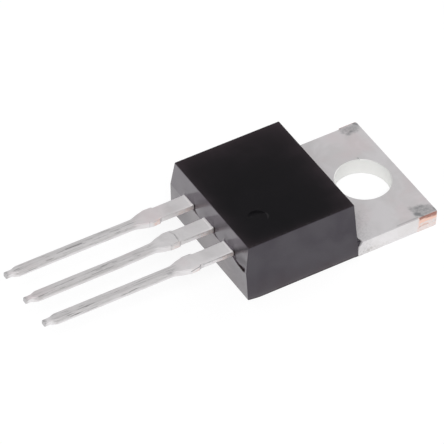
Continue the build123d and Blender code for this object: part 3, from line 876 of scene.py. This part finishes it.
# Section loops: y runs with the half width, z with the strip's thickness; the upper corners are
# rolled over, the top is crowned by the square of the distance from its middle line. The joggle is a
# smooth step, and the strip is thickened by its slope so that it keeps its true thickness there.
def leadShell(name, centreY):
    shape, centre = SimpleNamespace(**leadShape), name == "collector"
    low, high, reach = leadLow[2], leadHigh[2], leadEnd - plateLow[0]
    inside, rows = ([-3.3, -0.75], 50) if centre else ([-2.05, -0.7], 14)
    knots = [*inside, -0.6, 0.0, 0.16, 2.3, 2.62, 3.1, 4.6, 12.9, 13.7, reach - 0.03, reach]
    counts = [rows, 10, 8, 12, 34, 24, 20, 44, 120, 34, 10, 6]
    out = np.concatenate([np.linspace(start, stop, count, endpoint=False)
                          for start, stop, count in zip(knots, knots[1:], counts)] + [[reach]])
    # Half widths are the mean of nearby ones, which rounds the list's corners, but not inside.
    table, shifts = np.array(shape.half).T, np.linspace(-0.05, 0.05, 9)
    half = np.mean([np.interp(out + shift, *table) for shift in shifts], axis=0)
    half = np.where(out < -0.5, np.interp(out, *table), half)
    level, thick = np.zeros_like(out), np.full_like(out, high - low)
    sideways = waver(out, 0, 6.0, 11 + int(centreY)) * shape.waviness * softStep(out, 3.5, 6.0)
    if centre:
        half = np.where(out < 0, shape.innerHalf, half)
        run = shape.joggleTo - shape.joggleFrom
        t = np.clip((-out - shape.joggleFrom) / run, 0, 1)
        fall = high - tabTop  # from the leads' top down to the header's
        thick = thick * np.sqrt(1 + (fall * 6 * t * (1 - t) / run) ** 2)
        settled = softStep(out, *shape.settling)
        level = level - fall * t * t * (3 - 2 * t) - shape.droop * settled
        sideways = sideways + shape.drift * settled
    thinned = shape.nibThinning * softStep(out, 13.45, 13.65)
    half = half * (1 - 0.05 * softStep(out, reach - 0.03, reach))
    columns = np.stack([out, half, level, thick, sideways, thinned])[..., None]
    out, half, level, thick, sideways, thinned = columns
    thick = thick - thinned
    middle, centreLine = (low + high) / 2 + level + thinned / 2, centreY + sideways
    top = middle + thick / 2
    radius = np.minimum(shape.topRoll, half * 0.5)
    y, z = roundedLoops(centreLine - half, centreLine + half, middle - thick / 2, top,
                        [shape.lowRounding, radius, radius, shape.lowRounding], 5, 20)
    offset = (y - centreLine) / half
    isTop = softStep(z, top - 0.09, top - 0.01)
    lip = shape.rootLip * fade(out, 0.07, 0.14) * (out > -0.5)
    z = z + (lip - shape.crown * offset ** 2) * isTop
    if centre:
        arc = shape.creaseAt + shape.creaseBow * (1 - offset ** 2)
        z = z - shape.creaseDepth * bell(out - arc, 0.06) * isTop * (np.abs(offset) < 1)
    fromTop = top - z
    down = np.clip(fromTop / thick, 0, 1)
    cut = softStep(np.abs(offset), 0.985, 0.999) * (1 - isTop)
    cut = np.maximum(cut, softStep(out, reach - 0.02, reach))
    damBar = softStep(out, 2.45, 2.6) * fade(out, 3.15, 3.3) * 0.3 * cut * (1 - isTop)
    patch = softStep(out, 2.48, 2.6) * fade(out, 2.95, 3.35) * fade(offset, -0.9, -0.6)
    patch = patch * np.maximum(cut, 0.8 * isTop)
    thinPlated = 0.4 * fade(out, 0.6, 1.9) * (1 - isTop) * cut
    bare = np.maximum(np.maximum(damBar, patch * shape.copperLeft[name]), thinPlated)
    # On the drawn pins, shade is painted near the top of their sides, and a highlight towards the top's far
    # edge.
    drawn = softStep(out, 3.6, 4.6) * fade(out, 13.3, 13.6)
    cut = cut * (1 - drawn * fade(down, 0.25, 1.0))
    # Painted shade and highlight: tone darkens the sides below the top and lightens the top's far edge.
    tone = 1 + 0.5 * softStep(down, 0.1, 0.3) - 0.5 * softStep(offset, 0.1, 1.0) * isTop
    drawn = drawn * (1 - cut) * tone
    nearSide = (1 - isTop) * (offset < -0.8)
    # Darker at the nib's end, and painted shade on the sides near the moulding.
    smudge = 0.55 * softStep(out, 13.65, 14.0) + 0.5 * fade(out, 0.15, 0.95) * (1 - isTop)
    smudge = np.maximum(smudge, strokes(out, fromTop, shape.sideMarks[name]) * nearSide)
    score = strokes(out, y - centreLine, shape.scores[name]) * np.maximum(isTop, 0.6)
    points = pointsOf(leadEnd - out, y, z)
    # root is painted light: whiter, less metallic tin on the top next to the moulding, against the shade of
    # the wall beside it.
    return shell(points, cut=cut, bare=bare, drawn=drawn, smudge=smudge, score=score,
                 root=0.9 * fade(out, 0.2, 1.7) * isTop, fresh=0.0, torn=0.0, burnt=0.0)


tabTin, leadTin = tinMaterial("tinnedTab", tabLook), tinMaterial("tinnedLeads", leadLook)
makePiece("tabPlate", [plateShell()], tabTin, "tinned_tab", "tab_and_collector_lead")
makePiece("collectorLead", [leadShell("collector", 0.0)], leadTin, "tinned_lead", "tab_and_collector_lead")
makePiece("baseLead", [leadShell("base", leadPitch)], leadTin, "tinned_lead", "base_lead")
makePiece("emitterLead", [leadShell("emitter", -leadPitch)], leadTin, "tinned_lead", "emitter_lead")


# Studio, in metres: a pale floor that sweeps up into a low wall all round, open overhead, with soft lamps.
studio = {
    "floorRadius": 0.9,
    "wallRadius": 1.5,
    "wallHeight": 0.55,
    "floorDrop": 0.00002,  # just clear of the object's underside
    "paper": (0.84, 0.84, 0.84),
    "shadowShare": 0.2,  # of the paper's own light, where camera and gloss see it
    "glow": 0.87,
    "world": (0.42, 0.42, 0.43),
    "lamps": [
        # name, direction from the object, distance, size, radiance
        ("keyLamp", (-0.55, -0.75, 1.1), 0.9, 0.55, 5.5),
        ("fillLamp", (0.9, 0.35, 0.9), 0.9, 0.5, 2.6),
    ],
    "lampsAim": (-0.008, 0, 0),
}


# Sweep: a flat disc, then an arc that turns it up into the wall, carried round the upright axis.
def sweepShell():
    radius, wall, height = studio["floorRadius"], studio["wallRadius"], studio["wallHeight"]
    disc, turn = np.linspace(0.004, radius, 12), np.linspace(0, np.pi / 2, 14)[1:]
    r = np.concatenate([disc, radius + (wall - radius) * np.sin(turn)])[:, None]
    z = np.concatenate([0 * disc, height * (1 - np.cos(turn))])[:, None] - studio["floorDrop"]
    around = np.linspace(0, 2 * np.pi, 128, endpoint=False)
    return shell(pointsOf(r * np.cos(around), r * np.sin(around), z), caps=(0,))


# Paper: lit as it is for light that bounces, and mostly its own glow to the camera and to gloss.
def paperMaterial():
    material, shade, shader = startMaterial("palePaper")
    shade.tree.nodes.remove(shader)
    path = shade.add("ShaderNodeLightPath", {}).outputs
    seen = shade.larger(path["Is Camera Ray"], path["Is Glossy Ray"])
    seen = shade.larger(seen, path["Is Transmission Ray"])
    paper, fibre = studio["paper"], shade.noise(shade.vector, 900.0, 3.0, 0.5)
    tone = shade.mix(fibre, paper, tuple(0.98 * value for value in paper))
    lit = shade.add("ShaderNodeBsdfDiffuse", {"Color": tone})
    dimmed = shade.mix(studio["shadowShare"], (0.0, 0.0, 0.0), tone)
    faint = shade.add("ShaderNodeBsdfDiffuse", {"Color": dimmed})
    glow = shade.add("ShaderNodeEmission", {"Color": (1, 1, 1, 1), "Strength": studio["glow"]})
    both = shade.add("ShaderNodeAddShader", {0: faint.outputs[0], 1: glow.outputs[0]})
    pick = shade.add("ShaderNodeMixShader", {0: seen, 1: lit.outputs[0], 2: both.outputs[0]})
    shade.fill(shade.tree.nodes["Material Output"], {"Surface": pick.outputs[0]})
    return material


floor = makeMesh("floorSweep", [sweepShell()], paperMaterial(), unit=1.0)
floor.data.flip_normals()  # its faces look in and up, at the object

world = bpy.context.scene.world or bpy.data.worlds.new("studioWorld")
bpy.context.scene.world = world
world.use_nodes = True
air = Shading(world.node_tree)
air.fill(air.tree.nodes["Background"], {"Color": (*studio["world"], 1), "Strength": 1.0})

# A disc lamp's power is its radiance times pi times its area.
for name, direction, distance, size, radiance in studio["lamps"]:
    lamp = bpy.data.lights.new(name, "AREA")
    lamp.shape = "DISK"
    lamp.size = size
    lamp.energy = radiance * math.pi * math.pi * (size / 2) ** 2
    holder = bpy.data.objects.new(name, lamp)
    away = Vector(direction).normalized()
    holder.location = away * distance + Vector(studio["lampsAim"])
    holder.rotation_mode = "QUATERNION"
    holder.rotation_quaternion = away.to_track_quat("Z", "Y")
    bpy.context.scene.collection.objects.link(holder)
print("studio made")

# Camera: a long lens looking down over the leads from the left, turned a little about its own axis.
cameraPlace = {"azimuth": -32.86, "elevation": 44.09, "roll": 2.09, "distance": 286.6 * mm,
               "target": (-10.611 * mm, 0.98 * mm, 1.5 * mm), "lens": 346.8}
azimuth, elevation, roll = (math.radians(cameraPlace[key]) for key in ("azimuth", "elevation", "roll"))
flat = math.cos(elevation)
back = Vector((math.sin(azimuth) * flat, -math.cos(azimuth) * flat, math.sin(elevation)))
level = Vector((math.cos(azimuth), math.sin(azimuth), 0))
rise = back.cross(level)
across = level * math.cos(roll) + rise * math.sin(roll)
upward = rise * math.cos(roll) - level * math.sin(roll)
camera = bpy.data.objects.new("camera", bpy.data.cameras.new("camera"))
camera.data.lens = cameraPlace["lens"]
camera.data.clip_start, camera.data.clip_end = 0.01, 10.0
place = Vector(cameraPlace["target"]) + back * cameraPlace["distance"]
camera.matrix_world = Matrix.Translation(place) @ Matrix((across, upward, back)).transposed().to_4x4()
bpy.context.scene.collection.objects.link(camera)
bpy.context.scene.camera = camera
bpy.context.scene.view_settings.view_transform = "Standard"
